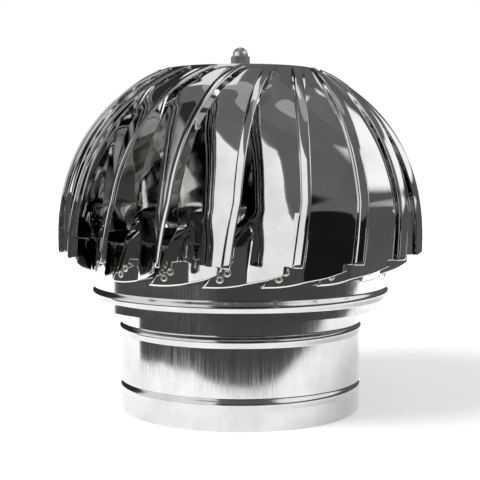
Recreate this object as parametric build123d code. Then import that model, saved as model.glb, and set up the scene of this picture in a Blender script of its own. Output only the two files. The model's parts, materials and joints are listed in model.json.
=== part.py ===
from build123d import *

import os
from math import asin, atan2, cos, degrees, hypot, radians, sin, tan

# Roof turbine ventilator: a riveted stainless turbine head that turns on a shaft in two
# ball bearings, over a twin-wall flue spigot. Millimetres, +Z up. The origin lies on the
# shaft axis, in the plane of the spigot's lower rim.

# ---- driving dimensions: fixed base ----
sheet = 0.6  # wall of the spigot, collar, shoulder and turbine ring
spigot_diameter = 249.4  # slides into a 250 mm flue
spigot_height = 167.0
collar_diameter = 304.0  # slides over a 300 mm outer jacket
collar_bottom = 109.0
collar_top = 146.0
bead_height = 11.0
bead_depth = 2.5
lower_bead_level = 26.0
upper_bead_level = 86.0
collar_bead_level = 123.0
shoulder_rise = 11.0  # the sloping cover's climb from the collar to the spigot
flange_height = 9.0
seam_gap = 0.15  # between sheet walls that nest in each other
seat_gap = 0.3  # between curved sheets that are riveted together

# ---- driving dimensions: bearing support ----
arm_count = 3
arm_width = 28.0
arm_thickness = 3.0
arm_bend_radius = 4.0
arm_foot_height = 26.0
arm_underside = 140.0
hub_plate_diameter = 84.0
hub_plate_thickness = 4.0
housing_diameter = 40.0
housing_height = 150.0
housing_drop = 24.0  # from the hub plate's underside to the housing's lower end
weld_gap = 0.1
screw_diameter = 5.0
screw_head_diameter = 9.0
screw_head_height = 3.0
screw_head_chamfer = 0.8
screw_rows = (28.0, 37.0)  # distances of the arm screws from the axis
hole_clearance = 0.1
blind_rivet_spread = 16.0

# ---- driving dimensions: ball bearings, series 6201 ----
bearing_bore = 12.0
bearing_outside = 32.0
bearing_width = 10.0
ball_diameter = 5.95
ball_count = 7
pitch_diameter = 22.0
inner_land_diameter = 17.6
outer_land_diameter = 26.6
groove_clearance = 0.03
cage_thickness = 1.8
cage_height = 7.4
pocket_clearance = 0.06
seal_thickness = 0.8
seal_inset = 0.2
seal_gap = 0.05
circlip_thickness = 1.2
circlip_width = 3.0
circlip_groove_depth = 0.85
circlip_opening = 40.0  # degrees
circlip_gap = 0.05
cap_wall = 1.5
cap_depth = 4.0
rim_land = 2.5  # housing left beyond a circlip groove

# ---- driving dimensions: shaft and top fasteners ----
running_clearance = 0.02
shaft_body_diameter = 16.0
shaft_end = 3.0  # shaft below its lower circlip
thread_diameter = 10.0
nut_across_flats = 17.0
nut_height = 18.0
nut_hexagon_height = 9.0
nut_dome_diameter = 15.6
washer_diameter = 40.0
washer_thickness = 2.5
spring_washer_diameter = 18.1
spring_washer_thickness = 2.2

# ---- driving dimensions: turbine ----
blade_count = 18
blade_sheet = 0.5
belly_radius = 188.5
belly_level = 175.0
dome_height = 190.0
dome_power = 2.15
strip_offset = 55.0  # each lip lies in an upright plane this far from the axis
sweep_level = 222.0  # below it the lip also runs back
bottom_sweep = 2.7  # degrees
lip_width = 8.0
lip_step = 4.5
joggle_run = 3.0
lip_bottom = 162.0
rim_level = 336.0  # where the blades come down onto the disc's rim
panel_crown = 1.2
blade_bottom_outer = 157.0
blade_bottom_inner = 142.5
tip_radius = 83.0
tip_width = 27.5
tip_step = 1.5  # the joggle fades towards the disc
ring_radius = 166.0
ring_bottom = 147.0
ring_height = 32.0
disc_thickness = 1.2
disc_flat_radius = 76.0
disc_radius = 96.0
rim_gap = 0.7  # between the disc's rim and the blades
rivet_shank_diameter = 4.0
rivet_head_diameter = 8.0
rivet_head_height = 1.3
rivet_tail_height = 1.6

# Height of each blade section above the spigot rim, the sheet's width from the lip to the
# inner edge, and its angle in from the tangent. "ring" and "disc" seat the sheet on those.
blade_sections = (
    (blade_bottom_outer, 75.0, "ring"),
    (181.0, 65.0, "ring"),
    (200.0, 76.0, 36.0),
    (222.0, 74.0, 39.0),
    (244.0, 59.0, 37.0),
    (264.0, 46.0, 33.0),
    (284.0, 40.0, 28.0),
    (303.0, 35.0, 23.0),
    (320.0, 31.0, 16.0),
    (rim_level, 29.0, "disc"),
)

# ---- derived sizes ----
spigot_radius = spigot_diameter / 2
collar_radius = collar_diameter / 2
housing_radius = housing_diameter / 2
hub_plate_level = arm_underside + arm_thickness
housing_bottom = hub_plate_level - housing_drop
housing_top = housing_bottom + housing_height
lower_circlip_level = housing_bottom + cap_depth + rim_land
lower_bearing_level = lower_circlip_level + circlip_thickness
upper_circlip_level = housing_top - rim_land - circlip_thickness
upper_bearing_level = upper_circlip_level - bearing_width
blade_pitch = 360 / blade_count


def dome_radius(level):
    """Outer radius of the turbine: upright below the belly, a superellipse above it."""
    rise = max(level - belly_level, 0) / dome_height
    return belly_radius * (1 - rise**dome_power) ** (1 / dome_power)


def dome_level(radius):
    """Height on the dome's upper part at which it has this radius."""
    share = (radius / belly_radius) ** dome_power
    return belly_level + dome_height * (1 - share) ** (1 / dome_power)


def dome_tilt(level):
    """Angle of the dome's wall from the upright, in degrees."""
    step = 0.5
    return degrees(atan2(dome_radius(level - step) - dome_radius(level + step), 2 * step))


def upright_face(points):
    """Flat face in the XZ plane through (radius, level) points."""
    return make_face(Polyline(*[(radius, 0, level) for radius, level in points], close=True))


def turned(points):
    """Solid of revolution about the shaft axis with this half section."""
    return revolve(upright_face(points), Axis.Z)


def ring_solid(inner, outer, bottom, top):
    return turned([(inner, bottom), (outer, bottom), (outer, top), (inner, top)])


def around(shape, count, start=0.0):
    """Copies of a shape, evenly spaced about the shaft axis."""
    return [Rot(0, 0, start + index * 360 / count) * shape for index in range(count)]


def beaded_side(radius, bottom, top, beads):
    """One side of a sheet wall in half section, swelled to an arc at every bead."""
    edges = []
    level = bottom
    for bead in beads:
        start = (radius, 0, bead - bead_height / 2)
        crest = (radius + bead_depth, 0, bead)
        end = (radius, 0, bead + bead_height / 2)
        edges += [Line((radius, 0, level), start), ThreePointArc(start, crest, end)]
        level = bead + bead_height / 2
    edges.append(Line((radius, 0, level), (radius, 0, top)))
    return edges


def beaded_tube(radius, bottom, top, beads):
    """Sheet tube of this outer radius with swaged beads."""
    edges = beaded_side(radius, bottom, top, beads) + beaded_side(radius - sheet, bottom, top, beads)
    edges += [Line((radius, 0, level), (radius - sheet, 0, level)) for level in (bottom, top)]
    return revolve(make_face(edges), Axis.Z)


# ---- fixed base ----
def make_spigot_pipe():
    pipe = beaded_tube(spigot_radius, 0, spigot_height, (lower_bead_level, upper_bead_level))
    return pipe - foot_holes(rivet_shank_diameter + 2 * hole_clearance)


def make_collar():
    return beaded_tube(collar_radius, collar_bottom, collar_top, (collar_bead_level,))


def make_shoulder():
    """Sloping cover that closes the gap between the walls, flanged at both edges."""
    outer = collar_radius - sheet - seam_gap
    inner = spigot_radius + seam_gap
    high = collar_top + shoulder_rise
    return turned(
        [
            (outer, collar_top - flange_height),
            (outer, collar_top),
            (inner + sheet, high),
            (inner + sheet, high + flange_height),
            (inner, high + flange_height),
            (inner, high - sheet),
            (outer - sheet, collar_top - sheet),
            (outer - sheet, collar_top - flange_height),
        ]
    )


def foot_holes(diameter):
    """Radial pins through each arm's foot and the spigot wall."""
    level = arm_underside - arm_foot_height / 2
    pins = []
    for side in (-1, 1):
        swing = degrees(side * blind_rivet_spread / 2 / spigot_radius)
        pin = Pos(spigot_radius, 0, level) * Rot(0, 90, 0) * Cylinder(diameter / 2, 20)
        pins += around(Rot(0, 0, swing) * pin, arm_count, 90)
    return pins


def make_support_arm():
    """Flat bar with a foot bent down along the spigot's inner wall."""
    wall = spigot_radius - sheet - seam_gap
    top = arm_underside + arm_thickness
    corner = wall - arm_bend_radius
    edges = [
        Line((housing_radius + weld_gap, 0, top), (corner, 0, top)),
        TangentArc((corner, 0, top), (wall, 0, top - arm_bend_radius), tangent=(1, 0, 0)),
        Line((wall, 0, top - arm_bend_radius), (wall, 0, top - arm_foot_height)),
        Line((wall, 0, top - arm_foot_height), (wall - arm_thickness, 0, top - arm_foot_height)),
        Line((wall - arm_thickness, 0, top - arm_foot_height), (wall - arm_thickness, 0, top - arm_bend_radius)),
        TangentArc(
            (wall - arm_thickness, 0, top - arm_bend_radius),
            (corner, 0, arm_underside),
            tangent=(0, 0, 1),
        ),
        Line((corner, 0, arm_underside), (housing_radius + weld_gap, 0, arm_underside)),
        Line((housing_radius + weld_gap, 0, arm_underside), (housing_radius + weld_gap, 0, top)),
    ]
    bowl = revolve(make_face(edges), Axis.Z)
    strip = Pos(spigot_radius / 2, 0, arm_underside) * Box(spigot_radius, arm_width, 4 * arm_foot_height)
    return Rot(0, 0, 90) * (bowl & strip) - screw_holes(screw_diameter / 2 + running_clearance)


def screw_holes(radius):
    """Upright pins at every arm screw."""
    pins = []
    for row in screw_rows:
        pins += around(Pos(row, 0, hub_plate_level) * Cylinder(radius, 40), arm_count, 90)
    return pins


def make_hub_plate():
    plate = ring_solid(
        housing_radius + weld_gap,
        hub_plate_diameter / 2,
        hub_plate_level,
        hub_plate_level + hub_plate_thickness,
    )
    return plate - screw_holes(screw_diameter / 2 + hole_clearance)


def make_arm_screws():
    """Cylinder head screws from the hub plate down into the arms."""
    seat = hub_plate_level + hub_plate_thickness
    shank = hub_plate_thickness + arm_thickness
    head = Pos(0, 0, seat + screw_head_height / 2) * Cylinder(screw_head_diameter / 2, screw_head_height)
    head = chamfer(head.edges().group_by(Axis.Z)[-1], screw_head_chamfer)
    screw = head + Pos(0, 0, seat - shank / 2) * Cylinder(screw_diameter / 2, shank)
    return [copy for row in screw_rows for copy in around(Pos(row, 0, 0) * screw, arm_count, 90)]


def make_bearing_housing():
    """Turned tube with a bearing seat at each end, a shoulder behind it and a circlip groove."""
    seat = bearing_outside / 2 + running_clearance
    shoulder = outer_land_diameter / 2
    groove = bearing_outside / 2 + circlip_groove_depth
    low, high = lower_circlip_level, upper_circlip_level
    clip_low, clip_high = low - circlip_gap, low + circlip_thickness
    return turned(
        [
            (housing_radius, housing_bottom),
            (housing_radius, housing_top),
            (seat, housing_top),
            (seat, high + circlip_thickness + circlip_gap),
            (groove, high + circlip_thickness + circlip_gap),
            (groove, high),
            (seat, high),
            (seat, upper_bearing_level),
            (shoulder, upper_bearing_level),
            (shoulder, lower_bearing_level + bearing_width),
            (seat, lower_bearing_level + bearing_width),
            (seat, clip_high),
            (groove, clip_high),
            (groove, clip_low),
            (seat, clip_low),
            (seat, housing_bottom),
        ]
    )


def make_circlip(inner, outer, level):
    """Open spring ring; the opening faces +X."""
    ring = ring_solid(inner, outer, level, level + circlip_thickness)
    reach = 2 * outer
    corner = radians(circlip_opening / 2)
    gap = make_face(
        Polyline(
            (0, 0, level),
            (reach * cos(corner), reach * sin(corner), level),
            (reach * cos(corner), -reach * sin(corner), level),
            close=True,
        )
    )
    return ring - extrude(gap, circlip_thickness, dir=(0, 0, 1))


def make_housing_circlip(level):
    outer = bearing_outside / 2 + circlip_groove_depth - circlip_gap
    return make_circlip(outer - circlip_width, outer, level)


def make_bearing_cap():
    """Cap pressed into the housing's lower end, against rain and soot."""
    outer = bearing_outside / 2
    top = housing_bottom + cap_depth
    return turned(
        [
            (0, housing_bottom - cap_wall),
            (housing_radius, housing_bottom - cap_wall),
            (housing_radius, housing_bottom),
            (outer, housing_bottom),
            (outer, top),
            (outer - cap_wall, top),
            (outer - cap_wall, housing_bottom),
            (0, housing_bottom),
        ]
    )


def ball_groove(level):
    """Torus that cuts the ball tracks of a bearing whose lower face is at this height."""
    track = Pos(0, 0, level + bearing_width / 2)
    return track * Torus(pitch_diameter / 2, ball_diameter / 2 + groove_clearance)


def make_outer_ring(level):
    ring = ring_solid(outer_land_diameter / 2, bearing_outside / 2, level, level + bearing_width)
    return ring - ball_groove(level)


def make_inner_ring(level):
    bore = bearing_bore / 2
    ring = ring_solid(bore, inner_land_diameter / 2, level, level + bearing_width)
    return ring - ball_groove(level)


def balls(level, radius):
    ball = Pos(pitch_diameter / 2, 0, level + bearing_width / 2) * Sphere(radius)
    return around(ball, ball_count, 180 / ball_count)


def make_cage(level):
    """Window cage with a round pocket for every ball."""
    middle = level + bearing_width / 2
    inner = (pitch_diameter - cage_thickness) / 2
    cage = ring_solid(inner, inner + cage_thickness, middle - cage_height / 2, middle + cage_height / 2)
    pocket = Cylinder(ball_diameter / 2 + pocket_clearance, 2 * cage_thickness)
    window = Pos(pitch_diameter / 2, 0, middle) * Rot(0, 90, 0) * pocket
    return cage - around(window, ball_count, 180 / ball_count)


def make_seals(level):
    """Two flat seals held in the outer ring."""
    inner = inner_land_diameter / 2 + seal_gap
    outer = outer_land_diameter / 2 - running_clearance
    bottoms = (level + seal_inset, level + bearing_width - seal_inset - seal_thickness)
    return [ring_solid(inner, outer, bottom, bottom + seal_thickness) for bottom in bottoms]


# ---- turbine ----
def lip_angle_at(level):
    """Angle about the axis of a lip's free edge, from where it stands at the sweep level."""
    run_back = bottom_sweep * max(sweep_level - level, 0) / (sweep_level - lip_bottom)
    plane = degrees(asin(strip_offset / dome_radius(level)))
    return plane - degrees(asin(strip_offset / dome_radius(sweep_level))) - run_back


def seated_angle(level, width):
    """Angle in from the tangent at which a sheet of this width ends on the lower ring."""
    outside, seat = dome_radius(level), ring_radius + seat_gap
    depth = lip_step + blade_sheet
    reach = hypot(width, depth)
    lean = asin((reach**2 + outside**2 - seat**2) / (2 * outside * reach))
    return degrees(lean - atan2(depth, width))


def sheet_angle(level, width, lean):
    """Angle in from the tangent, in degrees, of a blade section."""
    if lean == "ring":
        return seated_angle(level, width)
    if lean == "disc":
        return degrees(asin(width / 2 * cos(radians(dome_tilt(level))) / dome_radius(level)))
    return lean


def blade_outline(width, drop):
    """Section of a blade: lip, joggle of this depth, crowned panel. X runs inward along the sheet."""
    shift = blade_sheet * tan(atan2(drop, joggle_run) / 2)
    foot = lip_width + joggle_run
    step = -drop
    middle = (foot + width) / 2
    crown = panel_crown
    return [
        Line((0, 0), (lip_width, 0)),
        Line((lip_width, 0), (foot, step)),
        ThreePointArc((foot, step), (middle, step + crown), (width, step)),
        Line((width, step), (width, step - blade_sheet)),
        ThreePointArc(
            (width, step - blade_sheet),
            (middle, step - blade_sheet + crown),
            (foot - shift, step - blade_sheet),
        ),
        Line((foot - shift, step - blade_sheet), (lip_width - shift, -blade_sheet)),
        Line((lip_width - shift, -blade_sheet), (0, -blade_sheet)),
        Line((0, -blade_sheet), (0, 0)),
    ]


def blade_section(level, width, lean, drop=lip_step, fall=0.0):
    """Blade outline set square to the dome's wall at a height; fall tilts it down along the sheet."""
    swing, tilt = radians(lip_angle_at(level)), radians(dome_tilt(level))
    radius = dome_radius(level)
    corner = Vector(radius * sin(swing), -radius * cos(swing), level)
    back = Vector(-cos(swing), -sin(swing), 0)
    out = Vector(sin(swing) * cos(tilt), -cos(swing) * cos(tilt), sin(tilt))
    turn = radians(lean)
    along = back * cos(turn) - out * sin(turn) - Vector(0, 0, fall / width)
    normal = back * sin(turn) + out * cos(turn)
    plane = Plane(origin=corner, x_dir=along, z_dir=along.cross(normal))
    return plane * make_face(blade_outline(width, drop))


def make_blade():
    """One blade, lofted from the ring up to the disc, its lip cut square above the lower edge."""
    sections = []
    for level, width, lean in blade_sections:
        fall = blade_bottom_outer - blade_bottom_inner if level == blade_bottom_outer else 0
        sections.append(blade_section(level, width, sheet_angle(level, width, lean), fall=fall))
    tip_level = dome_level(tip_radius)
    sections.append(
        blade_section(tip_level, tip_width, sheet_angle(tip_level, tip_width, "disc"), drop=tip_step)
    )
    return loft(sections, ruled=True) - lip_notch()


def lip_notch():
    """Block that takes the lip off the blade's lowest stretch."""
    level, width = blade_sections[0][:2]
    block = Box(2 * (lip_width + joggle_run), 2 * lip_step, 2 * (lip_bottom - level))
    corner = Pos(0, -dome_radius(level), level)
    lean = seated_angle(level, width)
    return Rot(0, 0, lip_angle_at(level)) * corner * Rot(0, 0, -lean) * Pos(0, -blade_sheet, 0) * block


def make_bottom_ring():
    return ring_solid(ring_radius - sheet, ring_radius, ring_bottom, ring_bottom + ring_height)


def disc_rim():
    """Two points, as radius and level, of a line just inside the blades' upper ends."""
    points = []
    for level, drop in ((dome_level(tip_radius), tip_step), (rim_level, lip_step)):
        depth = drop + blade_sheet + rim_gap
        tilt = radians(dome_tilt(level))
        points.append((dome_radius(level) - depth * cos(tilt), level - depth * sin(tilt)))
    return points


def rim_height(radius):
    """Height of the disc's conical rim at a radius."""
    (inner, high), (outer, low) = disc_rim()
    return high + (high - low) / (outer - inner) * (inner - radius)


def disc_top():
    return rim_height(disc_flat_radius)


def make_top_disc():
    """Flat disc with a conical rim that the blades are riveted to."""
    top, low = disc_top(), rim_height(disc_radius)
    bore = thread_diameter / 2 + hole_clearance
    return turned(
        [
            (bore, top),
            (disc_flat_radius, top),
            (disc_radius, low),
            (disc_radius, low - disc_thickness),
            (disc_flat_radius, top - disc_thickness),
            (bore, top - disc_thickness),
        ]
    )


def make_shaft():
    """Turned shaft: bearing journals, a thicker body above them and the threaded end."""
    journal = bearing_bore / 2 - running_clearance
    body = shaft_body_diameter / 2
    foot = lower_bearing_level - circlip_thickness - circlip_gap
    clip = journal - circlip_groove_depth
    seat = disc_top() - disc_thickness - washer_thickness
    tip = disc_top() + washer_thickness + spring_washer_thickness + nut_height - 5
    return turned(
        [
            (0, foot - shaft_end),
            (journal, foot - shaft_end),
            (journal, foot),
            (clip, foot),
            (clip, lower_bearing_level),
            (journal, lower_bearing_level),
            (journal, upper_bearing_level + bearing_width),
            (body, upper_bearing_level + bearing_width),
            (body, seat),
            (thread_diameter / 2, seat),
            (thread_diameter / 2, tip),
            (0, tip),
        ]
    )


def make_shaft_circlip():
    inner = bearing_bore / 2 - running_clearance - circlip_groove_depth + circlip_gap
    return make_circlip(inner, inner + circlip_width, lower_bearing_level - circlip_thickness)


def make_washer(bottom, diameter=washer_diameter, thickness=washer_thickness):
    return ring_solid(thread_diameter / 2 + hole_clearance, diameter / 2, bottom, bottom + thickness)


def make_spring_washer(bottom):
    """Split ring, cut through once."""
    ring = make_washer(bottom, spring_washer_diameter, spring_washer_thickness)
    cut = Pos(spring_washer_diameter / 2, 0, bottom) * Rot(25, 0, 0)
    return ring - cut * Box(spring_washer_diameter, 1.2, 4 * spring_washer_thickness)


def make_acorn_nut(bottom):
    """Hexagon cap nut with a domed blind end."""
    hexagon = extrude(RegularPolygon(nut_across_flats / 2, 6, major_radius=False), nut_hexagon_height)
    chamfered = turned(
        [
            (0, 0),
            (nut_across_flats / 2, 0),
            (nut_across_flats * 0.58, 1),
            (nut_across_flats * 0.58, nut_hexagon_height - 1),
            (nut_across_flats / 2, nut_hexagon_height),
            (0, nut_hexagon_height),
        ]
    )
    dome_radius_here = nut_dome_diameter / 2
    shoulder = nut_height - dome_radius_here
    edges = [
        Line((0, 0, 0), (dome_radius_here, 0, 0)),
        Line((dome_radius_here, 0, 0), (dome_radius_here, 0, shoulder)),
        TangentArc((dome_radius_here, 0, shoulder), (0, 0, nut_height), tangent=(0, 0, 1)),
        Line((0, 0, nut_height), (0, 0, 0)),
    ]
    nut = (hexagon & chamfered) + revolve(make_face(edges), Axis.Z)
    bore = Pos(0, 0, (nut_height - 4) / 2) * Cylinder(thread_diameter / 2 + running_clearance, nut_height - 4)
    return Pos(0, 0, bottom) * (nut - bore)


# ---- write every piece ----
def save(name, shape):
    solids = shape if isinstance(shape, list) else [shape]
    solids = [solid for item in solids for solid in item.solids()]
    export_step(Compound(children=solids) if len(solids) > 1 else solids[0], f"parts/{name}.step")


os.makedirs("parts", exist_ok=True)

save("spigot_pipe", make_spigot_pipe())
save("collar", make_collar())
save("shoulder_cover", make_shoulder())
arm = make_support_arm()
for index, turned_arm in enumerate(around(arm, arm_count)):
    save(f"support_arm_{index + 1}", turned_arm)
save("hub_plate", make_hub_plate())
save("arm_screws", make_arm_screws())
save("bearing_housing", make_bearing_housing())
save("bearing_cap", make_bearing_cap())
save("upper_housing_circlip", make_housing_circlip(upper_circlip_level))
save("lower_housing_circlip", make_housing_circlip(lower_circlip_level))
for place, level in (("upper", upper_bearing_level), ("lower", lower_bearing_level)):
    save(f"{place}_outer_ring", make_outer_ring(level))
    save(f"{place}_inner_ring", make_inner_ring(level))
    save(f"{place}_bearing_balls", balls(level, ball_diameter / 2))
    save(f"{place}_bearing_cage", make_cage(level))
    save(f"{place}_bearing_seals", make_seals(level))

save("shaft", make_shaft())
save("shaft_circlip", make_shaft_circlip())
save("lower_clamp_washer", make_washer(disc_top() - disc_thickness - washer_thickness))
save("upper_clamp_washer", make_washer(disc_top()))
save("spring_washer", make_spring_washer(disc_top() + washer_thickness))
save("acorn_nut", make_acorn_nut(disc_top() + washer_thickness + spring_washer_thickness))
save("top_disc", make_top_disc())
save("bottom_ring", make_bottom_ring())
blade = make_blade()
for index, turned_blade in enumerate(around(blade, blade_count)):
    save(f"blade_{index + 1:02d}", turned_blade)
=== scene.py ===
import json
import math
import random

import bpy
import numpy as np
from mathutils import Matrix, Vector


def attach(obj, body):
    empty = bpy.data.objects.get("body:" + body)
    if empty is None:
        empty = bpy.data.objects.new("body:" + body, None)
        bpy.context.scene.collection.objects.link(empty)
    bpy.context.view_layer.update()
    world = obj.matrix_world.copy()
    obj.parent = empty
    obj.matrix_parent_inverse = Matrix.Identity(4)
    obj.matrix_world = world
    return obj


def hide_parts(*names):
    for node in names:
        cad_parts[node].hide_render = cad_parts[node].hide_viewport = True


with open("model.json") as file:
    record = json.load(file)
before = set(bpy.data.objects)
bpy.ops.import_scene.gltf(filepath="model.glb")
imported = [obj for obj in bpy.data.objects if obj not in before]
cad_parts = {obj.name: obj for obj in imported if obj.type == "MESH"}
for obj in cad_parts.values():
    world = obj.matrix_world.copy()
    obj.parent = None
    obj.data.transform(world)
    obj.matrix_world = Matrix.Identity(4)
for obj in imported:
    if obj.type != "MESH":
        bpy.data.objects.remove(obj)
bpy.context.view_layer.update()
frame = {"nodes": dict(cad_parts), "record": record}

MM = 0.001

# ---- sizes in millimetres and angles in degrees; these are the CAD model's ----
SHEET = 0.6
SPIGOT_RADIUS = 124.7
SPIGOT_HEIGHT = 167.0
COLLAR_RADIUS = 152.0
COLLAR_BOTTOM = 109.0
COLLAR_TOP = 146.0
BEAD_HEIGHT = 11.0
BEAD_DEPTH = 2.5
SPIGOT_BEADS = (26.0, 86.0)
COLLAR_BEADS = (123.0,)
BLADE_COUNT = 18
BLADE_SHEET = 0.5
BELLY_RADIUS = 188.5
BELLY_LEVEL = 175.0
DOME_HEIGHT = 190.0
DOME_POWER = 2.15
STRIP_OFFSET = 55.0
SWEEP_LEVEL = 222.0
BOTTOM_SWEEP = 2.7
LIP_WIDTH = 8.0
LIP_STEP = 4.5
JOGGLE_RUN = 3.0
LIP_BOTTOM = 162.0
RIM_LEVEL = 336.0
LIP_RELIEF = 1.5
TIP_RADIUS = 83.0
TIP_WIDTH = 27.5
TIP_STEP = 1.5
SEAT_GAP = 0.3

# ---- the blades' panels and the ring, as the photograph shows them ----
PANEL_CROWN = 3.2
CROWN_WIDTH = 65.0
SEATED_CROWN = 0.6
RING_RADIUS = 154.6
RING_BOTTOM = 143.5
RING_HEIGHT = 35.0
RING_LEDGE = 4.0
RING_BEND = 1.2
RIM_WIDTH = 36.0
# A panel is straight as far as the fold, and its tab follows the ring from there.
FOLD_TURN = 14.3  # behind the lip
TAB_BEND = 4.0
TAB_LEVELS = (139.3, 180.0)
TAB_TURNS = (33.4, 25.1)  # the tab's end behind the blade's own line, at those levels
FOOT_TURN_IN = 0.6
FOOT_TURN_RUN = 7.5
FADE_RISE = 44.0  # above the tab, where the section changes from seated to free
LIP_CURL = 0.8
LIP_CURL_RUN = 4.0
# distance behind the joggle, and level
LOWER_EDGE = ((0.0, 157.0), (17.6, 148.3), (50.7, 141.0), (85.0, 141.5))
# level, width, and lean in from the dome
BLADE_STATIONS = (
    (187.0, 78.0, 40.0),
    (222.0, 80.0, 40.0),
    (244.0, 78.0, 39.0),
    (264.0, 74.0, 37.0),
    (284.0, 66.0, 33.0),
    (303.0, 60.0, 27.0),
    (320.0, 50.0, 19.0),
)

# ---- camera: the photograph's viewing angle ----
CAMERA_DISTANCE = 1.1493
CAMERA_HEIGHT = 0.2622
CAMERA_PITCH = 0.077
CAMERA_YAW = 0.000355
FOCAL_PIXELS = 1098.9
FRAME_PIXELS = 480
SENSOR_WIDTH = 36.0
NEAREST, FARTHEST = 0.05, 60.0


def make_camera():
    data = bpy.data.cameras.new("camera")
    data.sensor_width = SENSOR_WIDTH
    data.lens = data.sensor_width * FOCAL_PIXELS / FRAME_PIXELS
    data.clip_start = NEAREST
    data.clip_end = FARTHEST
    camera = bpy.data.objects.new("camera", data)
    camera.location = (0, -CAMERA_DISTANCE, CAMERA_HEIGHT)
    camera.rotation_euler = (math.pi / 2 - CAMERA_PITCH, 0, CAMERA_YAW)
    bpy.context.scene.collection.objects.link(camera)
    bpy.context.scene.camera = camera


# ---- mesh helpers ----
SHARP_ANGLE = 35.0


def new_piece(name, vertices, faces, material):
    """Mesh object from points in millimetres, smooth with creases above an angle."""
    mesh = bpy.data.meshes.new(name)
    mesh.from_pydata([tuple(MM * c for c in v) for v in vertices], [], faces)
    mesh.shade_smooth()
    mesh.set_sharp_from_angle(angle=math.radians(SHARP_ANGLE))
    mesh.materials.append(material)
    mesh.validate()
    piece = bpy.data.objects.new(name, mesh)
    bpy.context.scene.collection.objects.link(piece)
    return piece


def grid_faces(rows, columns, wrap_rows=False, wrap_columns=False, keep=None):
    """Quads between the points of a grid that is stored row by row."""
    faces = []
    for i in range(rows if wrap_rows else rows - 1):
        for j in range(columns if wrap_columns else columns - 1):
            if keep is not None and not keep(i, j):
                continue
            up, right = (i + 1) % rows, (j + 1) % columns
            faces.append((i * columns + j, i * columns + right, up * columns + right, up * columns + j))
    return faces


TURNED_STEPS = 256
TURNED_WAVES = 5
WAVE_TOTAL = 2.5  # about what the waves add up to
WAVE_TWIST = 0.02


def turned(name, profile, material, waviness, seed):
    """Turned piece from a closed profile of (radius, level) points, with slight seeded unevenness."""
    draw = random.Random(seed)
    waves = [
        (draw.randint(2, 9), draw.uniform(0, math.tau), draw.uniform(0.3, 1.0))
        for _ in range(TURNED_WAVES)
    ]
    vertices = []
    for radius, level in profile:
        for k in range(TURNED_STEPS):
            turn = math.tau * k / TURNED_STEPS
            uneven = sum(a * math.sin(n * turn + p + level * WAVE_TWIST * n) for n, p, a in waves)
            r = radius + waviness * uneven / WAVE_TOTAL
            vertices.append((r * math.cos(turn), r * math.sin(turn), level))
    faces = grid_faces(len(profile), TURNED_STEPS, wrap_rows=True, wrap_columns=True)
    return new_piece(name, vertices, [f[::-1] for f in faces], material)


BEAD_STEPS = 14
BEAD_ROUNDNESS = 1.3
FLAT_EDGE = 0.6
FLAT_FOOT = 0.8


def beaded_profile(radius, bottom, top, beads):
    """Outer side of a sheet wall from bottom to top: each bead an arc with softened feet.
    A short flat at each foot and edge keeps the wall between them shaded as flat."""
    side = [(radius, bottom), (radius, bottom + FLAT_EDGE)]
    for bead in beads:
        side.append((radius, bead - BEAD_HEIGHT / 2 - FLAT_FOOT))
        for k in range(BEAD_STEPS + 1):
            t = -1 + 2 * k / BEAD_STEPS
            rise = math.cos(t * math.pi / 2) ** BEAD_ROUNDNESS
            side.append((radius + BEAD_DEPTH * rise, bead + t * BEAD_HEIGHT / 2))
        side.append((radius, bead + BEAD_HEIGHT / 2 + FLAT_FOOT))
    return side + [(radius, top - FLAT_EDGE), (radius, top)]


def sheet_profile(side):
    """Closed profile of a sheet wall from its outer side."""
    return side + [(r - SHEET, z) for r, z in reversed(side)]


# ---- materials ----
def new_material(name, metallic, colour, roughness):
    material = bpy.data.materials.new(name)
    material.use_nodes = True
    shader = material.node_tree.nodes["Principled BSDF"]
    shader.inputs["Metallic"].default_value = metallic
    shader.inputs["Base Color"].default_value = (*colour, 1)
    shader.inputs["Roughness"].default_value = roughness
    return material, material.node_tree, shader


def node(tree, kind, **settings):
    made = tree.nodes.new(kind)
    for key, value in settings.items():
        setattr(made, key, value)
    return made


def math_node(tree, operation, a, b=None):
    made = node(tree, "ShaderNodeMath", operation=operation)
    for slot, value in enumerate((a, b)):
        if value is None:
            continue
        if isinstance(value, (int, float)):
            made.inputs[slot].default_value = value
        else:
            tree.links.new(value, made.inputs[slot])
    return made.outputs[0]


def object_point(tree, scale=(1, 1, 1)):
    """The point in the shared frame, stretched along each axis."""
    point = node(tree, "ShaderNodeTexCoord").outputs["Object"]
    mapping = node(tree, "ShaderNodeMapping")
    mapping.inputs["Scale"].default_value = scale
    tree.links.new(point, mapping.inputs["Vector"])
    return mapping.outputs["Vector"]


def round_point(tree, around, along):
    """The point as (turn about the shaft axis, height), for streaks that follow rolled sheet."""
    split = node(tree, "ShaderNodeSeparateXYZ")
    tree.links.new(node(tree, "ShaderNodeTexCoord").outputs["Object"], split.inputs[0])
    turn = math_node(tree, "ARCTAN2", split.outputs[0], split.outputs[1])
    join = node(tree, "ShaderNodeCombineXYZ")
    tree.links.new(math_node(tree, "MULTIPLY", turn, around), join.inputs[0])
    tree.links.new(math_node(tree, "MULTIPLY", split.outputs[2], along), join.inputs[1])
    return join.outputs[0]


def noise(tree, point, scale, detail=3.0, rough=0.5):
    made = node(tree, "ShaderNodeTexNoise")
    made.inputs["Scale"].default_value = scale
    made.inputs["Detail"].default_value = detail
    made.inputs["Roughness"].default_value = rough
    tree.links.new(point, made.inputs["Vector"])
    return made.outputs["Fac"]


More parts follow.
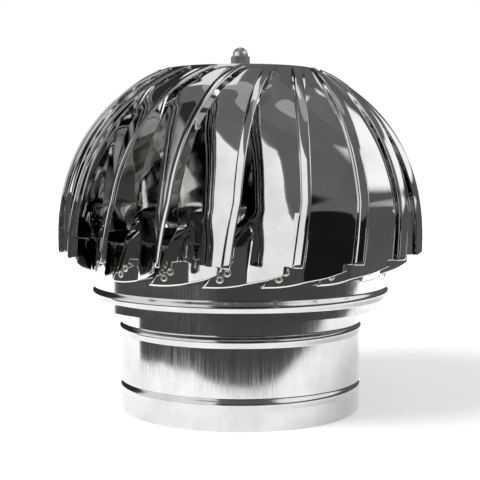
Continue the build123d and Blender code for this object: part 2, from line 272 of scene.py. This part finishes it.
def spread(tree, value, low, high, start=0.3, end=0.7):
    """Maps a 0..1 texture value between start and end onto low..high."""
    made = node(tree, "ShaderNodeMapRange", interpolation_type="SMOOTHSTEP")
    tree.links.new(value, made.inputs["Value"])
    made.inputs["From Min"].default_value = start
    made.inputs["From Max"].default_value = end
    made.inputs["To Min"].default_value = low
    made.inputs["To Max"].default_value = high
    return made.outputs["Result"]


def colours(tree, value, dark, light):
    ramp = node(tree, "ShaderNodeMix", data_type="RGBA")
    tree.links.new(value, ramp.inputs["Factor"])
    ramp.inputs["A"].default_value = (*dark, 1)
    ramp.inputs["B"].default_value = (*light, 1)
    return ramp.outputs["Result"]


def bump(tree, height, distance, strength=1.0, under=None):
    made = node(tree, "ShaderNodeBump")
    made.inputs["Distance"].default_value = distance
    made.inputs["Strength"].default_value = strength
    tree.links.new(height, made.inputs["Height"])
    if under is not None:
        tree.links.new(under, made.inputs["Normal"])
    return made.outputs["Normal"]


def polished_steel(name, colour, smooth, rough, streak_turns=60.0, streak_bump=0.00001, dent=0.00004):
    """Bright rolled stainless sheet: fine streaks, smudges and slight unevenness."""
    material, tree, shader = new_material(name, 1.0, colour, smooth)
    streaks = noise(tree, round_point(tree, streak_turns, 8.0), 1.0, 4.0, 0.6)
    smudges = noise(tree, object_point(tree), 28.0, 4.0, 0.6)
    specks = noise(tree, object_point(tree, (1, 1, 0.4)), 420.0, 2.0)
    mixed = math_node(tree, "MULTIPLY", spread(tree, streaks, 0.0, 1.0), spread(tree, smudges, 0.3, 1.0))
    fine = math_node(tree, "MULTIPLY_ADD", specks, 0.25)
    tree.links.new(mixed, fine.node.inputs[2])
    tree.links.new(spread(tree, fine, smooth, rough, 0.0, 1.1), shader.inputs["Roughness"])
    dark = tuple(0.9 * c for c in colour)
    light = tuple(min(1.0, 1.05 * c) for c in colour)
    tree.links.new(colours(tree, spread(tree, smudges, 0, 1), light, dark), shader.inputs["Base Color"])
    soft = bump(tree, noise(tree, object_point(tree), 14.0, 1.0), dent)
    tree.links.new(bump(tree, streaks, streak_bump, 0.5, soft), shader.inputs["Normal"])
    return material


def turned_steel(name, colour, smooth, rough):
    """Turned or ground steel, with fine rings about the shaft axis."""
    material, tree, shader = new_material(name, 1.0, colour, smooth)
    rings = noise(tree, object_point(tree, (0.02, 0.02, 1)), 2600.0, 2.0)
    stains = noise(tree, object_point(tree), 90.0, 4.0, 0.6)
    tree.links.new(spread(tree, stains, smooth, rough), shader.inputs["Roughness"])
    dark = tuple(0.72 * c for c in colour)
    tree.links.new(colours(tree, spread(tree, stains, 0, 1), colour, dark), shader.inputs["Base Color"])
    tree.links.new(bump(tree, rings, 0.00002, 0.5), shader.inputs["Normal"])
    return material


def moulded(name, colour, smooth, rough, grain=900.0):
    """Moulded plastic or rubber with a fine grain and dusty patches."""
    material, tree, shader = new_material(name, 0.0, colour, smooth)
    dust = noise(tree, object_point(tree), 120.0, 4.0, 0.6)
    fine = noise(tree, object_point(tree), grain, 2.0)
    tree.links.new(spread(tree, dust, smooth, rough), shader.inputs["Roughness"])
    pale = tuple(min(1.0, 1.4 * c + 0.01) for c in colour)
    tree.links.new(colours(tree, spread(tree, dust, 0, 1), colour, pale), shader.inputs["Base Color"])
    tree.links.new(bump(tree, fine, 0.00005, 0.5), shader.inputs["Normal"])
    return material


MATERIALS = {
    "blade": polished_steel("mirror_steel", (0.80, 0.80, 0.79), 0.02, 0.07, dent=0.00003),
    "pipe": polished_steel("rolled_steel", (0.70, 0.69, 0.68), 0.09, 0.2, 90.0, 0.00002, 0.00003),
    "ring": polished_steel("ring_steel", (0.74, 0.74, 0.73), 0.05, 0.14),
    "support": turned_steel("bar_steel", (0.62, 0.61, 0.59), 0.28, 0.45),
    "bearing": turned_steel("bearing_steel", (0.72, 0.71, 0.70), 0.12, 0.25),
    "spring": turned_steel("spring_steel", (0.35, 0.34, 0.33), 0.25, 0.45),
    "fastener": turned_steel("fastener_steel", (0.86, 0.83, 0.77), 0.34, 0.5),
    "cage": moulded("cage_plastic", (0.30, 0.24, 0.15), 0.35, 0.55),
    "rubber": moulded("seal_rubber", (0.025, 0.025, 0.027), 0.45, 0.7),
    "black": moulded("black_plastic", (0.02, 0.02, 0.02), 0.35, 0.6),
}
SLOT_MATERIALS = {
    "base_steel": "pipe",
    "sheet_steel": "ring",
    "blade_steel": "blade",
    "support_steel": "support",
    "black_plastic": "black",
    "spring_steel": "spring",
    "bearing_steel": "bearing",
    "cage_polyamide": "cage",
    "seal_rubber": "rubber",
    "fastener_steel": "fastener",
}


CAD_SHARP_ANGLE = 30.0


def finish_cad_nodes():
    """Every CAD node takes the material of its slot in the record."""
    for entry in frame["record"]["subparts"]:
        made = frame["nodes"][entry["node"]]
        made.data.materials.clear()
        made.data.materials.append(MATERIALS[SLOT_MATERIALS[entry["material_slot"]]])
        made.data.shade_smooth()
        made.data.set_sharp_from_angle(angle=math.radians(CAD_SHARP_ANGLE))


# ---- blades ----
def dome_radius(level):
    rise = max(level - BELLY_LEVEL, 0) / DOME_HEIGHT
    return BELLY_RADIUS * (1 - rise**DOME_POWER) ** (1 / DOME_POWER)


def dome_level(radius):
    share = (radius / BELLY_RADIUS) ** DOME_POWER
    return BELLY_LEVEL + DOME_HEIGHT * (1 - share) ** (1 / DOME_POWER)


def dome_tilt(level):
    return math.atan2(dome_radius(level - 0.5) - dome_radius(level + 0.5), 1.0)


def lip_angle(level):
    run_back = math.radians(BOTTOM_SWEEP) * max(SWEEP_LEVEL - level, 0) / (SWEEP_LEVEL - LIP_BOTTOM)
    start = math.asin(STRIP_OFFSET / dome_radius(SWEEP_LEVEL))
    return math.asin(STRIP_OFFSET / dome_radius(level)) - start - run_back


def disc_lean(level, width):
    """Lean at which both edges of a sheet of this width lie on the dome."""
    return math.asin(width / 2 * math.cos(dome_tilt(level)) / dome_radius(level))


def ring_lean(level, seat):
    """Angle in from the tangent, in radians, of a sheet that meets the seat circle at the fold."""
    fold = math.radians(FOLD_TURN)
    inward, back = dome_radius(level) - seat * math.cos(fold), seat * math.sin(fold)
    along = math.sqrt(inward**2 + back**2 - LIP_STEP**2)
    return math.atan2(inward, back) - math.atan2(LIP_STEP, along)


def smooth_through(stations, values):
    """Smooth curve through values at rising stations, by cubic pieces with limited slopes."""
    x, y = np.array(stations), np.array(values)
    gaps = np.diff(x)
    rates = np.diff(y) / gaps
    slopes = np.empty_like(y)
    slopes[0], slopes[-1] = rates[0], rates[-1]
    for k in range(1, len(y) - 1):
        a, b = rates[k - 1], rates[k]
        slopes[k] = 0 if a * b <= 0 else 2 * a * b / (a + b)

    def value(at):
        k = min(max(int(np.searchsorted(x, at) - 1), 0), len(gaps) - 1)
        t, h = (at - x[k]) / gaps[k], gaps[k]
        return float(
            (1 + 2 * t) * (1 - t) ** 2 * y[k]
            + t * (1 - t) ** 2 * h * slopes[k]
            + t * t * (3 - 2 * t) * y[k + 1]
            + t * t * (t - 1) * h * slopes[k + 1]
        )

    return value


def eased(t):
    t = min(max(t, 0.0), 1.0)
    return t * t * (3 - 2 * t)


TIP_LEVEL = dome_level(TIP_RADIUS)
STATION_LEVELS = [s[0] for s in BLADE_STATIONS] + [RIM_LEVEL, TIP_LEVEL]
blade_width = smooth_through(STATION_LEVELS, [s[1] for s in BLADE_STATIONS] + [RIM_WIDTH, TIP_WIDTH])
blade_lean = smooth_through(
    STATION_LEVELS,
    [math.radians(s[2]) for s in BLADE_STATIONS]
    + [disc_lean(RIM_LEVEL, RIM_WIDTH), disc_lean(TIP_LEVEL, TIP_WIDTH)],
)
blade_drop = smooth_through(STATION_LEVELS, [LIP_STEP] * (len(BLADE_STATIONS) + 1) + [TIP_STEP])
edge_level = smooth_through([p[0] for p in LOWER_EDGE], [p[1] for p in LOWER_EDGE])

HEM_DEPTH = 1.3
HEM_RETURN = 5.0
LIP_CROWN = 0.5
FOOT = LIP_WIDTH + JOGGLE_RUN
HEM_STEPS, LIP_STEPS, JOGGLE_STEPS = 6, 8, 8
STRAIGHT_STEPS, BEND_STEPS, TAB_STEPS = 9, 5, 11


def lip_part(drop):
    """Outer side of the hem, lip and joggle as (inward, outward) points of a section."""
    radius = HEM_DEPTH / 2
    points = [(HEM_RETURN, -HEM_DEPTH)]
    for k in range(HEM_STEPS + 1):
        turn = math.pi * k / HEM_STEPS
        points.append((radius - radius * math.sin(turn), -radius - radius * math.cos(turn)))
    for k in range(1, LIP_STEPS + 1):
        t = k / LIP_STEPS
        points.append((radius + (LIP_WIDTH - radius) * t, LIP_CROWN * 4 * t * (1 - t)))
    for k in range(1, JOGGLE_STEPS + 1):
        t = k / JOGGLE_STEPS
        points.append((LIP_WIDTH + JOGGLE_RUN * t, -drop * eased(t)))
    return points


LIP_COLUMNS = len(lip_part(LIP_STEP))


SEAT_RADIUS = RING_RADIUS + SEAT_GAP + BLADE_SHEET


def bend_point(t, *points):
    """Point of a quadratic curve through two ends and towards the corner between them."""
    return tuple((1 - t) ** 2 * u + 2 * t * (1 - t) * v + t * t * w for u, v, w in zip(*points))


def seated_part(level):
    """Outer side of the panel at the ring: straight in to the fold, a bend and the tab."""
    turn_in = FOOT_TURN_IN * min(1, max(0, (RING_BOTTOM - level) / FOOT_TURN_RUN))
    seat = SEAT_RADIUS - turn_in
    lean, radius = ring_lean(level, seat), dome_radius(level)
    share = (level - TAB_LEVELS[0]) / (TAB_LEVELS[1] - TAB_LEVELS[0])
    last = math.radians(TAB_TURNS[0] + (TAB_TURNS[1] - TAB_TURNS[0]) * share) + lip_angle(level)

    def on_seat(turn):
        inward, back = radius - seat * math.cos(turn), seat * math.sin(turn)
        return (
            inward * math.sin(lean) + back * math.cos(lean),
            back * math.sin(lean) - inward * math.cos(lean),
        )

    fold = on_seat(math.radians(FOLD_TURN))
    bend_start = (fold[0] - TAB_BEND, -LIP_STEP)
    first = math.radians(FOLD_TURN) + TAB_BEND / seat
    bend_end = on_seat(first)
    points = []
    for k in range(1, STRAIGHT_STEPS + 1):
        t = k / STRAIGHT_STEPS
        points.append((FOOT + (bend_start[0] - FOOT) * t, -LIP_STEP + SEATED_CROWN * 4 * t * (1 - t)))
    for k in range(1, BEND_STEPS):
        points.append(bend_point(k / BEND_STEPS, bend_start, fold, bend_end))
    for k in range(TAB_STEPS + 1):
        points.append(on_seat(first + (last - first) * k / TAB_STEPS))
    return points, lean


def panel_shares():
    """Place of every panel column along the sheet, from the seated section at the ring's top."""
    points = [(FOOT, -LIP_STEP)] + seated_part(TAB_LEVELS[1])[0]
    steps = np.hypot(*np.diff(np.array(points), axis=0).T)
    return np.cumsum(steps) / steps.sum()


PANEL_SHARES = panel_shares()
COLUMNS = LIP_COLUMNS + len(PANEL_SHARES)


def in_space(level, points, lean, tilt):
    """Points of a section at a height, in the shared frame."""
    swing, radius = lip_angle(level), dome_radius(level)
    corner = np.array([radius * math.sin(swing), -radius * math.cos(swing), level])
    back = np.array([-math.cos(swing), -math.sin(swing), 0])
    out = np.array([math.sin(swing) * math.cos(tilt), -math.cos(swing) * math.cos(tilt), math.sin(tilt)])
    along = back * math.cos(lean) - out * math.sin(lean)
    normal = back * math.sin(lean) + out * math.cos(lean)
    flat = np.array(points)
    return corner + flat[:, :1] * along + flat[:, 1:] * normal


def seated_row(level):
    """One row of points where the blade sits on the ring."""
    panel, lean = seated_part(level)
    return in_space(level, lip_part(LIP_STEP) + panel, lean, 0.0)


def free_row(level):
    """One row of points above the ring, where the panel ends free inside the head."""
    width, drop = blade_width(level), blade_drop(level)
    crown = PANEL_CROWN * (width - FOOT) / CROWN_WIDTH
    panel = [(FOOT + (width - FOOT) * t, -drop + crown * 4 * t * (1 - t)) for t in PANEL_SHARES]
    return in_space(level, lip_part(drop) + panel, blade_lean(level), dome_tilt(level))


def blade_row(level):
    """One row of points, which goes over from seated to free above the ring."""
    top = TAB_LEVELS[1]
    if level <= top:
        return seated_row(level)
    if level >= top + FADE_RISE:
        return free_row(level)
    share = eased((level - top) / FADE_RISE)
    return (1 - share) * seated_row(level) + share * free_row(level)


LOW_ROWS, FADE_ROWS, PANEL_ROWS, RIM_ROWS = 12, 12, 52, 10


def row_levels():
    """Levels of the rows above the lip's lower end, close together where the section changes."""
    top = TAB_LEVELS[1]
    levels = [LIP_BOTTOM + 0.8 * k for k in range(6)] + [top - 10, top - 6, top - 3]
    levels += list(np.linspace(top - 1, top + FADE_RISE + 1, FADE_ROWS))
    levels += list(np.linspace(top + FADE_RISE + 4, RIM_LEVEL - 4, PANEL_ROWS))
    return levels + list(np.linspace(RIM_LEVEL - 2, TIP_LEVEL, RIM_ROWS))


def blade_rows():
    """Points of one blade, row by row: the slanted lower edge, the tab and the panel."""
    first = blade_row(LIP_BOTTOM)
    corner = first[LIP_COLUMNS - 1][0] - LIP_RELIEF
    edges = [edge_level(max(0.0, corner - point[0])) for point in first]
    rows = []
    for k in range(LOW_ROWS):
        t = k / LOW_ROWS
        row = []
        for j, edge in enumerate(edges):
            row.append(blade_row(edge + (LIP_BOTTOM - edge) * t)[j])
        rows.append(np.array(row))
    on_lip = np.array([1.0 if j < LIP_COLUMNS - JOGGLE_STEPS else 0.0 for j in range(COLUMNS)])
    for level in row_levels():
        row = blade_row(level)
        curl = LIP_CURL * max(0.0, (LIP_BOTTOM + LIP_CURL_RUN - level) / LIP_CURL_RUN) ** 2
        inward = np.array([row[0][0], row[0][1], 0.0])
        inward /= -np.linalg.norm(inward)
        rows.append(row + curl * on_lip[:, None] * inward)
    return np.array(rows)


BLADE_GRID = blade_rows()
row_way = np.gradient(BLADE_GRID, axis=0)
column_way = np.gradient(BLADE_GRID, axis=1)
BLADE_NORMALS = np.cross(column_way, row_way)
BLADE_NORMALS /= np.linalg.norm(BLADE_NORMALS, axis=2)[:, :, None]


WAVE_RATES, WAVE_PLACES, WAVE_SIZES = (0.02, 0.05), (1.5, 5.0), (0.02, 0.06)
SHEET_WAVES = 6
CALM_LEVEL, CALM_RUN, CALM_LEAST = 150.0, 50.0, 0.15


def sheet_waves(draw):
    """Slight seeded unevenness of a blade's panel, calm at its edges and on the tab."""
    waves = [
        (
            draw.uniform(*WAVE_RATES),
            draw.uniform(*WAVE_PLACES),
            draw.uniform(0, math.tau),
            draw.uniform(*WAVE_SIZES),
        )
        for _ in range(SHEET_WAVES)
    ]
    share = np.concatenate([np.zeros(LIP_COLUMNS), PANEL_SHARES])
    levels = BLADE_GRID[:, :, 2]
    calm = 4 * share * (1 - share) * np.clip((levels - CALM_LEVEL) / CALM_RUN, CALM_LEAST, 1)
    offset = np.zeros_like(levels)
    for rate, place, phase, size in waves:
        offset += size * np.sin(rate * levels + place * share + phase)
    return calm * offset


FIRST_BLADE_SEED = 100


def make_blade(index, seed):
    """One blade of the head, turned from the shared grid, with its own unevenness."""
    turn = math.radians(index * 360 / BLADE_COUNT)
    shape = BLADE_GRID + BLADE_NORMALS * sheet_waves(random.Random(seed))[:, :, None]
    x = shape[:, :, 0] * math.cos(turn) - shape[:, :, 1] * math.sin(turn)
    y = shape[:, :, 0] * math.sin(turn) + shape[:, :, 1] * math.cos(turn)
    vertices = np.stack([x, y, shape[:, :, 2]], axis=2).reshape(-1, 3)

    def kept(i, j):
        return i >= LOW_ROWS or j >= LIP_COLUMNS

    faces = grid_faces(len(shape), COLUMNS, keep=kept)
    used = sorted({v for f in faces for v in f})
    renumber = {v: k for k, v in enumerate(used)}
    piece = new_piece(
        f"blade_sheet_{index + 1:02d}",
        [vertices[v] for v in used],
        [tuple(renumber[v] for v in f) for f in faces],
        MATERIALS["blade"],
    )
    solid = piece.modifiers.new("sheet", "SOLIDIFY")
    solid.thickness = BLADE_SHEET * MM
    solid.offset = -1.0
    solid.use_even_offset = True
    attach(piece, "rotor")
    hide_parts(f"blade_{index + 1:02d}")


# ---- sheet metal base and ring ----
SHEET_WAVINESS = 0.12
RING_WAVINESS = 0.08


def make_base():
    pipe = turned(
        "spigot_sheet",
        sheet_profile(beaded_profile(SPIGOT_RADIUS, 0, SPIGOT_HEIGHT, SPIGOT_BEADS)),
        MATERIALS["pipe"],
        SHEET_WAVINESS,
        seed=3,
    )
    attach(pipe, "base")
    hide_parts("spigot_pipe")
    collar = turned(
        "collar_sheet",
        sheet_profile(beaded_profile(COLLAR_RADIUS, COLLAR_BOTTOM, COLLAR_TOP, COLLAR_BEADS)),
        MATERIALS["pipe"],
        SHEET_WAVINESS,
        seed=4,
    )
    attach(collar, "base")
    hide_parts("collar")


def make_ring():
    """The band that the blades are riveted to, with a narrow ledge turned in on top."""
    top = RING_BOTTOM + RING_HEIGHT
    outside = [
        (RING_RADIUS, RING_BOTTOM),
        (RING_RADIUS, top - RING_BEND),
        (RING_RADIUS - RING_BEND / 4, top - RING_BEND / 3),
        (RING_RADIUS - RING_BEND, top),
        (RING_RADIUS - RING_LEDGE, top),
    ]
    inside = [
        (RING_RADIUS - RING_LEDGE, top - SHEET),
        (RING_RADIUS - SHEET, top - RING_BEND),
        (RING_RADIUS - SHEET, RING_BOTTOM),
    ]
    ring = turned("ring_band", outside + inside, MATERIALS["ring"], RING_WAVINESS, seed=5)
    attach(ring, "rotor")
    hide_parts("bottom_ring")


# ---- rivets ----
# turn behind the blade's own line, and level
RING_RIVETS = ((24.5, 155.5), (27.0, 149.5))
# radius, and height above the sheet
RIVET_PROFILE = (
    (1.3, -0.2), (1.4, 0.5), (1.7, 1.0), (2.4, 1.35), (3.1, 1.2), (3.7, 0.8), (4.0, 0.3), (4.0, -0.2),
)
RIVET_STEPS = 24


def rivet_points(place, out, up):
    """A hollow rivet's head on a surface, as rings of points round its axis."""
    side = up.cross(out)
    points = []
    for radius, height in RIVET_PROFILE:
        for k in range(RIVET_STEPS):
            turn = math.tau * k / RIVET_STEPS
            points.append(place + out * height + (side * math.cos(turn) + up * math.sin(turn)) * radius)
    return points


def make_rivets():
    vertices, faces = [], []
    shell = grid_faces(len(RIVET_PROFILE), RIVET_STEPS, wrap_rows=True, wrap_columns=True)
    for index in range(BLADE_COUNT):
        for behind, level in RING_RIVETS:
            turn = math.radians(index * 360 / BLADE_COUNT - behind)
            out = Vector((math.sin(turn), -math.cos(turn), 0))
            place = out * SEAT_RADIUS + Vector((0, 0, level))
            first = len(vertices)
            vertices += rivet_points(place, out, Vector((0, 0, 1)))
            faces += [tuple(first + v for v in f) for f in shell]
    rivets = new_piece("ring_rivets", vertices, faces, MATERIALS["fastener"])
    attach(rivets, "rotor")


# ---- studio ----
def glossy_only(panel):
    """Hides a panel from all rays but reflections."""
    panel.visible_camera = False
    panel.visible_diffuse = False
    panel.visible_shadow = False
    panel.visible_transmission = False
    panel.visible_volume_scatter = False


PATCH_COLUMNS, PATCH_ROWS = 24, 16
PATCH_CENTRE = 0.2
# name, azimuths, elevations, strength, radius, and the share of its sides over which it fades;
# azimuth 0 is the camera's side and 90 is +X
STUDIO_PATCHES = (
    ("ceiling", (-180, 180), (44, 90), 0.15, 3.4, 0.0),
    ("zenith", (-180, 180), (74, 90), 0.38, 3.3, 0.0),
    ("top_back", (-184, -116), (58, 88), 0.9, 3.1, 0.1),
    ("front_wall", (-24, 62), (12, 60), 0.13, 3.2, 0.0),
    ("photographer", (-22, 26), (-12, 20), 0.01, 2.6, 0.06),
    ("left_softbox", (-112, -22), (-8, 46), 0.95, 2.8, 0.12),
    ("left_back", (-175, -105), (-8, 60), 0.03, 3.0, 0.0),
    ("right_softbox", (34, 128), (18, 49), 1.1, 2.7, 0.1),
    ("right_low", (26, 120), (-12, 22), 0.1, 2.8, 0.0),
    ("right_back", (120, 188), (-4, 60), 0.12, 2.9, 0.0),
)


def studio_patch(name, azimuths, elevations, strength, radius, soft):
    """Part of a sphere round the object, seen only in its reflections: a softbox or a dark flag."""
    vertices, weights = [], []
    for i in range(PATCH_ROWS + 1):
        up = i / PATCH_ROWS
        el = math.radians(elevations[0] + (elevations[1] - elevations[0]) * up)
        for j in range(PATCH_COLUMNS + 1):
            across = j / PATCH_COLUMNS
            az = math.radians(azimuths[0] + (azimuths[1] - azimuths[0]) * across)
            vertices.append(
                (
                    radius * math.sin(az) * math.cos(el),
                    -radius * math.cos(az) * math.cos(el),
                    PATCH_CENTRE + radius * math.sin(el),
                )
            )
            edge = min(up, 1 - up, across, 1 - across)
            weights.append(1.0 if soft == 0 else eased(edge / soft))
    mesh = bpy.data.meshes.new(name)
    mesh.from_pydata(vertices, [], grid_faces(PATCH_ROWS + 1, PATCH_COLUMNS + 1))
    mesh.shade_smooth()
    attribute = mesh.attributes.new("weight", "FLOAT", "POINT")
    attribute.data.foreach_set("value", weights)
    mesh.materials.append(studio_material(name, strength, soft > 0))
    panel = bpy.data.objects.new(name, mesh)
    bpy.context.scene.collection.objects.link(panel)
    glossy_only(panel)


def studio_material(name, strength, soft):
    """Plain light, which fades with the mesh's weight if it is soft."""
    material = bpy.data.materials.new(name)
    material.use_nodes = True
    tree = material.node_tree
    tree.nodes.clear()
    output = node(tree, "ShaderNodeOutputMaterial")
    glow = node(tree, "ShaderNodeEmission")
    glow.inputs["Color"].default_value = (1, 1, 1, 1)
    glow.inputs["Strength"].default_value = strength
    if not soft:
        tree.links.new(glow.outputs[0], output.inputs["Surface"])
        return material
    clear = node(tree, "ShaderNodeBsdfTransparent")
    mix = node(tree, "ShaderNodeMixShader")
    weight = node(tree, "ShaderNodeAttribute", attribute_name="weight")
    tree.links.new(weight.outputs["Fac"], mix.inputs[0])
    tree.links.new(clear.outputs[0], mix.inputs[1])
    tree.links.new(glow.outputs[0], mix.inputs[2])
    tree.links.new(mix.outputs[0], output.inputs["Surface"])
    return material


def background_rays(tree):
    """1 for camera, glossy and transmission rays."""
    path = node(tree, "ShaderNodeLightPath")
    seen = math_node(tree, "MAXIMUM", path.outputs["Is Camera Ray"], path.outputs["Is Glossy Ray"])
    return math_node(tree, "MAXIMUM", seen, path.outputs["Is Transmission Ray"])


WORLD_LIGHT, WORLD_WHITE = 0.45, 1.0


def make_world():
    """Soft light all round. The camera and reflections see plain white."""
    world = bpy.data.worlds.new("world")
    bpy.context.scene.world = world
    world.use_nodes = True
    tree = world.node_tree
    tree.nodes.clear()
    output = node(tree, "ShaderNodeOutputWorld")
    light = node(tree, "ShaderNodeBackground")
    light.inputs["Color"].default_value = (1, 1, 1, 1)
    light.inputs["Strength"].default_value = WORLD_LIGHT
    white = node(tree, "ShaderNodeBackground")
    white.inputs["Color"].default_value = (1, 1, 1, 1)
    white.inputs["Strength"].default_value = WORLD_WHITE
    mix = node(tree, "ShaderNodeMixShader")
    tree.links.new(background_rays(tree), mix.inputs[0])
    tree.links.new(light.outputs[0], mix.inputs[1])
    tree.links.new(white.outputs[0], mix.inputs[2])
    tree.links.new(mix.outputs[0], output.inputs["Surface"])


FLOOR_REACH = 6.0
FLOOR_GLOW = (0.36, 0.95)
FLOOR_GLOW_RUN = (0.3, 1.3)  # distances from the object between which the glow rises


def make_floor():
    """White paper that keeps the object's shadow and goes over into the white background."""
    mesh = bpy.data.meshes.new("floor")
    corners = [(-1, -1), (1, -1), (1, 1), (-1, 1)]
    mesh.from_pydata([(FLOOR_REACH * x, FLOOR_REACH * y, 0) for x, y in corners], [], [(0, 1, 2, 3)])
    material = bpy.data.materials.new("floor_paper")
    material.use_nodes = True
    tree = material.node_tree
    shader = tree.nodes["Principled BSDF"]
    shader.inputs["Base Color"].default_value = (0.8, 0.8, 0.8, 1)
    shader.inputs["Roughness"].default_value = 0.9
    shader.inputs["Specular IOR Level"].default_value = 0.0
    shader.inputs["Emission Color"].default_value = (1, 1, 1, 1)
    away = node(tree, "ShaderNodeVectorMath", operation="LENGTH")
    tree.links.new(node(tree, "ShaderNodeTexCoord").outputs["Object"], away.inputs[0])
    glow = spread(tree, away.outputs["Value"], *FLOOR_GLOW, *FLOOR_GLOW_RUN)
    seen = math_node(tree, "MULTIPLY", background_rays(tree), glow)
    tree.links.new(seen, shader.inputs["Emission Strength"])
    mesh.materials.append(material)
    floor = bpy.data.objects.new("floor", mesh)
    bpy.context.scene.collection.objects.link(floor)


LAMP_TARGET = (0, 0, 0.2)


def lamp(name, place, size, power):
    """Square area lamp aimed at the object, left out of reflections."""
    data = bpy.data.lights.new(name, "AREA")
    data.shape = "SQUARE"
    data.size = size
    data.energy = power
    light = bpy.data.objects.new(name, data)
    light.location = place
    aim = Vector(LAMP_TARGET) - Vector(place)
    light.rotation_euler = aim.to_track_quat("-Z", "Y").to_euler()
    light.visible_glossy = False
    light.visible_camera = False
    bpy.context.scene.collection.objects.link(light)


DARK_FLOOR_LIFT = 0.0005
DARK_FLOOR_LIGHT = 0.07
DARK_FLOOR = (
    (-3.0, 1.15), (-0.85, 0.22), (-0.40, 0.03), (-0.40, -0.166), (-0.33, -0.25), (-0.25, -0.32),
    (0.20, -0.32), (0.30, -0.32), (0.50, -0.28), (1.0, -0.05), (3.0, 1.6), (3.0, -3.0), (-3.0, -3.0),
)


def dark_floor():
    """The studio floor past the white paper, seen only in reflections."""
    mesh = bpy.data.meshes.new("dark_floor")
    corners = [(x, y, DARK_FLOOR_LIFT) for x, y in DARK_FLOOR]
    mesh.from_pydata(corners, [], [tuple(range(len(corners)))])
    mesh.materials.append(studio_material("dark_floor", DARK_FLOOR_LIGHT, False))
    panel = bpy.data.objects.new("dark_floor", mesh)
    bpy.context.scene.collection.objects.link(panel)
    glossy_only(panel)


def make_studio():
    make_world()
    make_floor()
    dark_floor()
    lamp("key_softbox", (-1.6, -1.0, 1.9), 1.2, 62)
    lamp("fill_softbox", (1.8, -1.6, 1.6), 1.6, 14)
    for patch in STUDIO_PATCHES:
        studio_patch(*patch)


make_camera()
make_studio()
finish_cad_nodes()
for blade_index in range(BLADE_COUNT):
    make_blade(blade_index, FIRST_BLADE_SEED + blade_index)
make_base()
make_ring()
make_rivets()
bpy.context.scene.view_settings.view_transform = "Standard"
